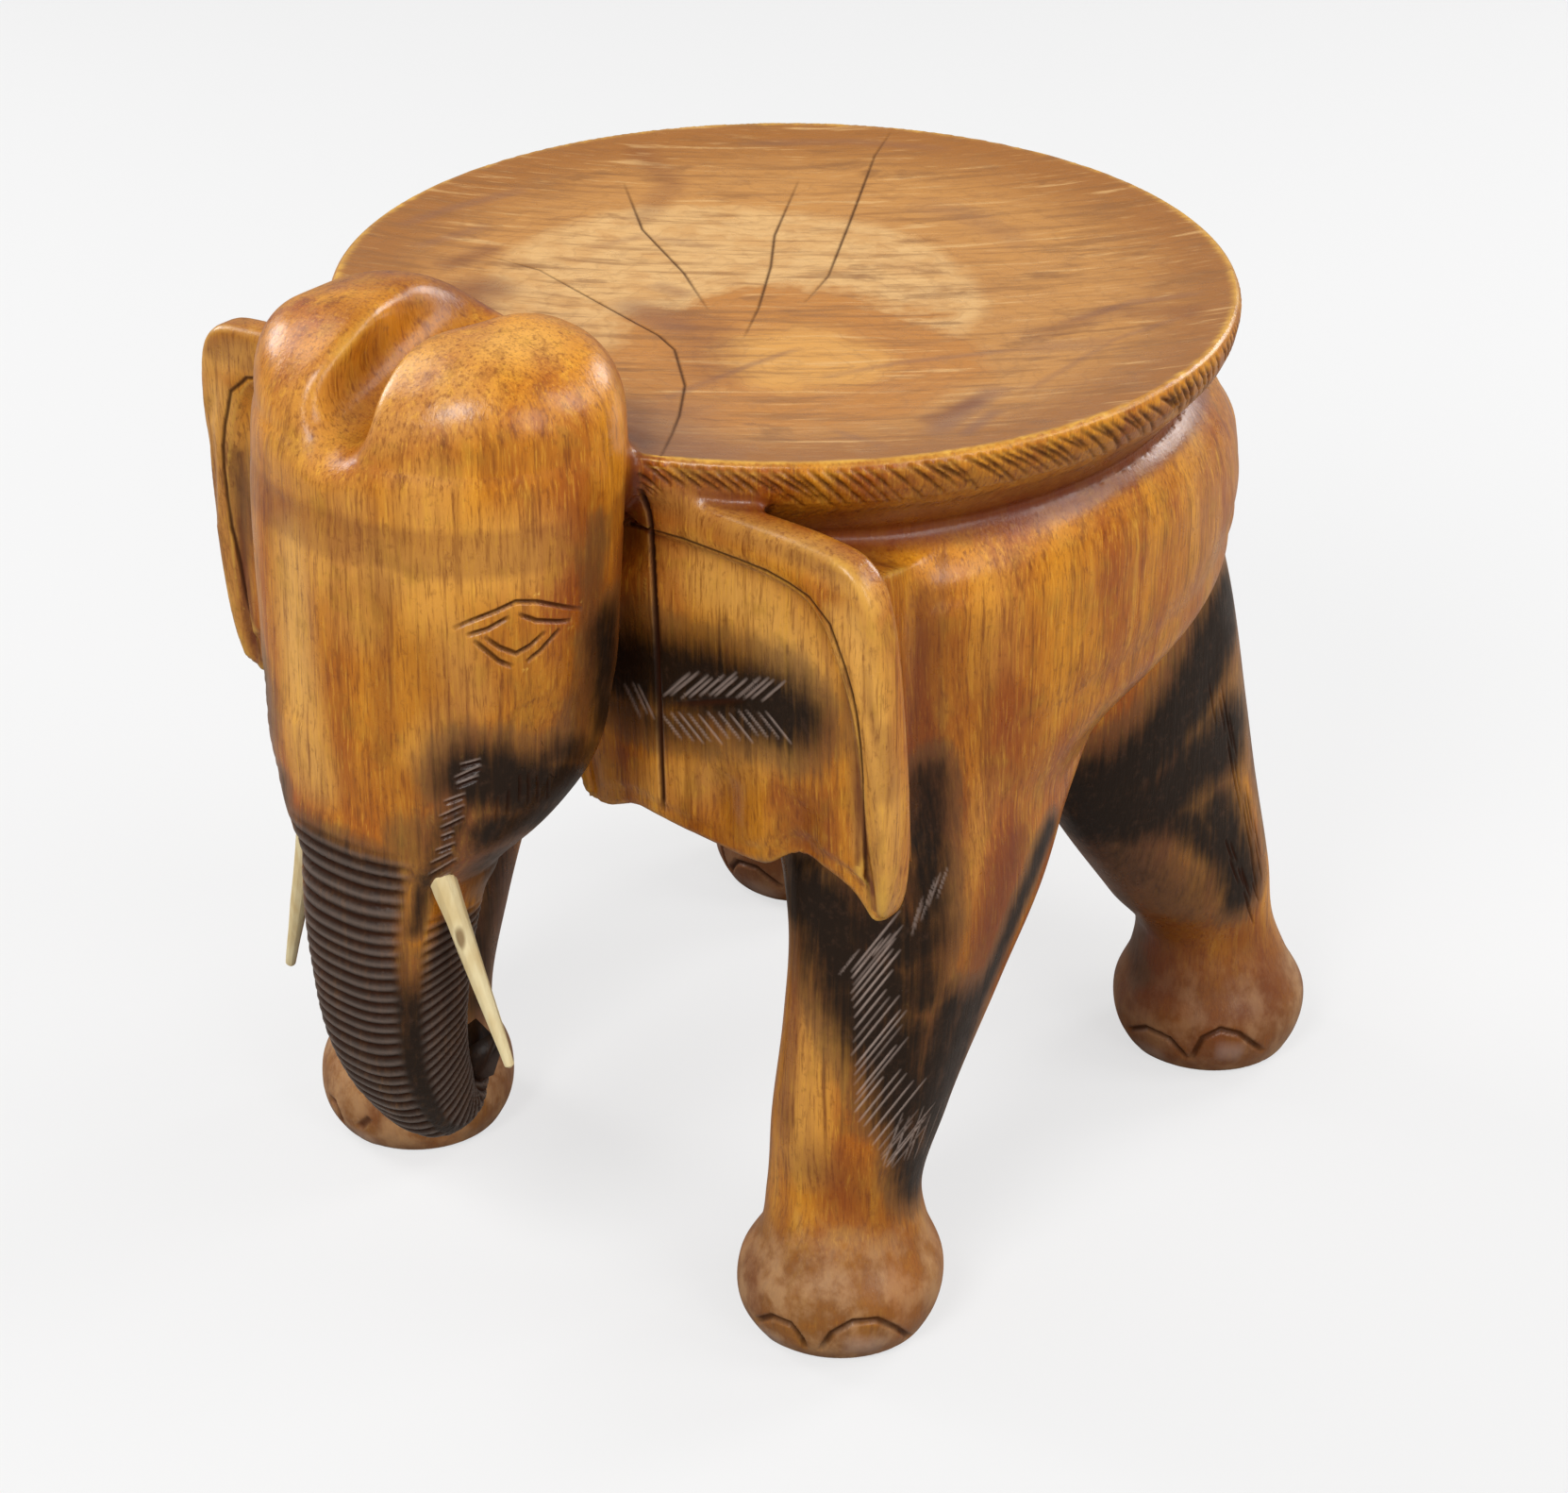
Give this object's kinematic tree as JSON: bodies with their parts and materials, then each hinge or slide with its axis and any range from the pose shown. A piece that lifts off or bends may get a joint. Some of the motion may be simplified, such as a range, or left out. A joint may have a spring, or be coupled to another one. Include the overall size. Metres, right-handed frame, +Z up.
{
  "type": "carved elephant stool",
  "caption": "Low round stool carved from one log as an elephant, with a dished seat on its back, a hanging trunk, spread ears and pale tusks.",
  "frame": {"origin": "bottom centre of the bounding box, on the floor the feet stand on", "axes": "+Z up, -Y the way the head faces, +X the animal's left"},
  "size_m": [0.3746, 0.4844, 0.453],
  "materials": {
    "stained_wood": "honey to orange-brown stain with scorched patches under a satin lacquer",
    "pale_wood": "bare whittled light wood"
  },
  "bodies": {
    "root": {"carved_body": "stained_wood", "left_tusk": "pale_wood", "right_tusk": "pale_wood"}
  },
  "joints": []
}
